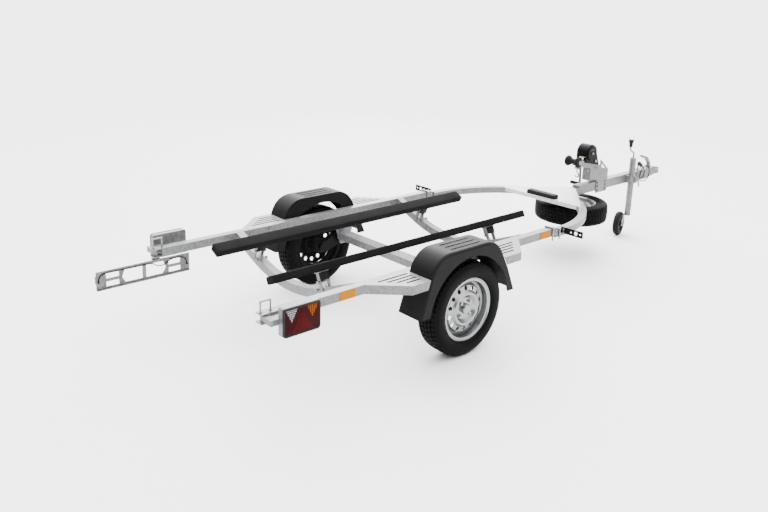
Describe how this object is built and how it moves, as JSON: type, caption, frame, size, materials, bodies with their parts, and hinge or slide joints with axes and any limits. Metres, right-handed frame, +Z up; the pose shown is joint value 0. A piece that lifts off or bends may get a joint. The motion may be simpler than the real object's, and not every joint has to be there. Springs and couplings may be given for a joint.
{
  "type": "boat trailer",
  "caption": "Single-axle trailer for a small boat: tube frame with a curved front, padded bunks, winch stand, jockey wheel, spare wheel and swing-out lamp units.",
  "frame": {"origin": "on the ground, at the middle of the trailer's width and length, without its loose cables", "axes": "+Y towards the coupling, +Z up, +X to the trailer's right side"},
  "size_m": [1.5, 4.825, 0.838],
  "materials": {
    "zinc": "hot-dip galvanised, dull with a fine spangle",
    "tread_sheet": "treadplate with raised bars",
    "rubber": "matt moulded rubber",
    "guard_plastic": "grained injection moulded plastic",
    "bunk_rubber": "matt padded covering",
    "winch_paint": "satin black paint",
    "strap": "woven webbing",
    "crank_zinc": "zinc plated",
    "black_paint": "black powder coat",
    "amber_reflector": "clear-topped amber prism reflector",
    "black_plastic": "moulded plastic",
    "cable_sheath": "smooth cable sheath",
    "wire_sheath": "clear plastic over wire",
    "lamp_lens": "moulded lens with clear and amber fields",
    "tyre": "road tyre",
    "rim_silver": "silver painted steel",
    "hub_zinc": "zinc plated"
  },
  "bodies": {
    "frame": {"rail_right": "zinc", "rail_left": "zinc", "bow_right": "zinc", "bow_left": "zinc", "crossbars": "zinc", "drawbar": "zinc", "axle_brackets": "zinc", "steps_right": "zinc", "steps_left": "zinc", "rail_ends": "zinc", "latch_rings": "zinc", "winch_stand": "zinc", "jockey_clamp": "zinc", "jockey_tube": "zinc", "coupling": "zinc", "spare_carrier": "zinc", "trailing_arms": "zinc", "axle_beam": "zinc", "bunk_brackets": "zinc", "coupling_lever": "zinc", "winch_hook": "zinc", "plug_bracket": "zinc", "platform": "tread_sheet", "platform_pad": "rubber", "mudguard_right": "guard_plastic", "mudguard_left": "guard_plastic", "bunks": "bunk_rubber", "winch_frame": "winch_paint", "winch_cover": "winch_paint", "winch_drum": "strap", "marker_brackets": "black_paint", "side_reflectors": "amber_reflector", "plug_cable": "cable_sheath", "plug": "black_plastic", "safety_wire": "wire_sheath", "spare_tyre": "tyre", "spare_rim": "rim_silver"},
    "wheel_right": {"tyre_right": "tyre", "rim_right": "rim_silver", "hub_right": "hub_zinc"},
    "wheel_left": {"tyre_left": "tyre", "rim_left": "rim_silver", "hub_left": "hub_zinc"},
    "lamp_unit_left": {"lamp_arm_left": "zinc", "lamp_housing_left": "zinc", "lamp_lens_left": "lamp_lens", "plate_holder": "zinc", "plate_lights": "black_plastic", "plate_cable": "cable_sheath"},
    "lamp_unit_right": {"lamp_arm_right": "zinc", "lamp_housing_right": "zinc", "lamp_lens_right": "lamp_lens"},
    "bow_roller": {"bow_roller": "rubber"},
    "winch_crank": {"winch_crank": "crank_zinc"},
    "jockey_leg": {"jockey_leg": "zinc"},
    "jockey_castor": {"jockey_fork": "zinc"},
    "jockey_wheel": {"jockey_wheel": "rubber"}
  },
  "joints": [
    {"name": "wheel_right_spin", "type": "hinge", "parent": "frame", "child": "wheel_right", "pos_m": [0.672, -0.8275, 0.273], "axis": [1, 0, 0], "continuous": true},
    {"name": "wheel_left_spin", "type": "hinge", "parent": "frame", "child": "wheel_left", "pos_m": [-0.672, -0.8275, 0.273], "axis": [-1, 0, 0], "continuous": true},
    {"name": "lamp_unit_right_swing", "type": "hinge", "parent": "frame", "child": "lamp_unit_right", "pos_m": [0.558, -2.0525, 0.497], "axis": [0, 0, 1], "range_deg": [-90, 0]},
    {"name": "lamp_unit_left_swing", "type": "hinge", "parent": "frame", "child": "lamp_unit_left", "pos_m": [-0.558, -2.0525, 0.497], "axis": [0, 0, 1], "range_deg": [0, 90]},
    {"name": "bow_roller_spin", "type": "hinge", "parent": "frame", "child": "bow_roller", "pos_m": [0, 1.1525, 0.72], "axis": [1, 0, 0], "continuous": true},
    {"name": "winch_crank_turn", "type": "hinge", "parent": "frame", "child": "winch_crank", "pos_m": [-0.08, 1.3775, 0.706], "axis": [1, 0, 0], "continuous": true},
    {"name": "jockey_leg_slide", "type": "slide", "parent": "frame", "child": "jockey_leg", "axis": [0, 0, -1], "range_m": [0, 0.2]},
    {"name": "jockey_castor_swivel", "type": "hinge", "parent": "jockey_leg", "child": "jockey_castor", "pos_m": [0.065, 1.9036, 0.18], "axis": [0, 0, 1], "continuous": true},
    {"name": "jockey_wheel_spin", "type": "hinge", "parent": "jockey_castor", "child": "jockey_wheel", "pos_m": [0.01975, 1.85764, 0.1], "axis": [0.9627, 0.2706, 0], "continuous": true}
  ]
}
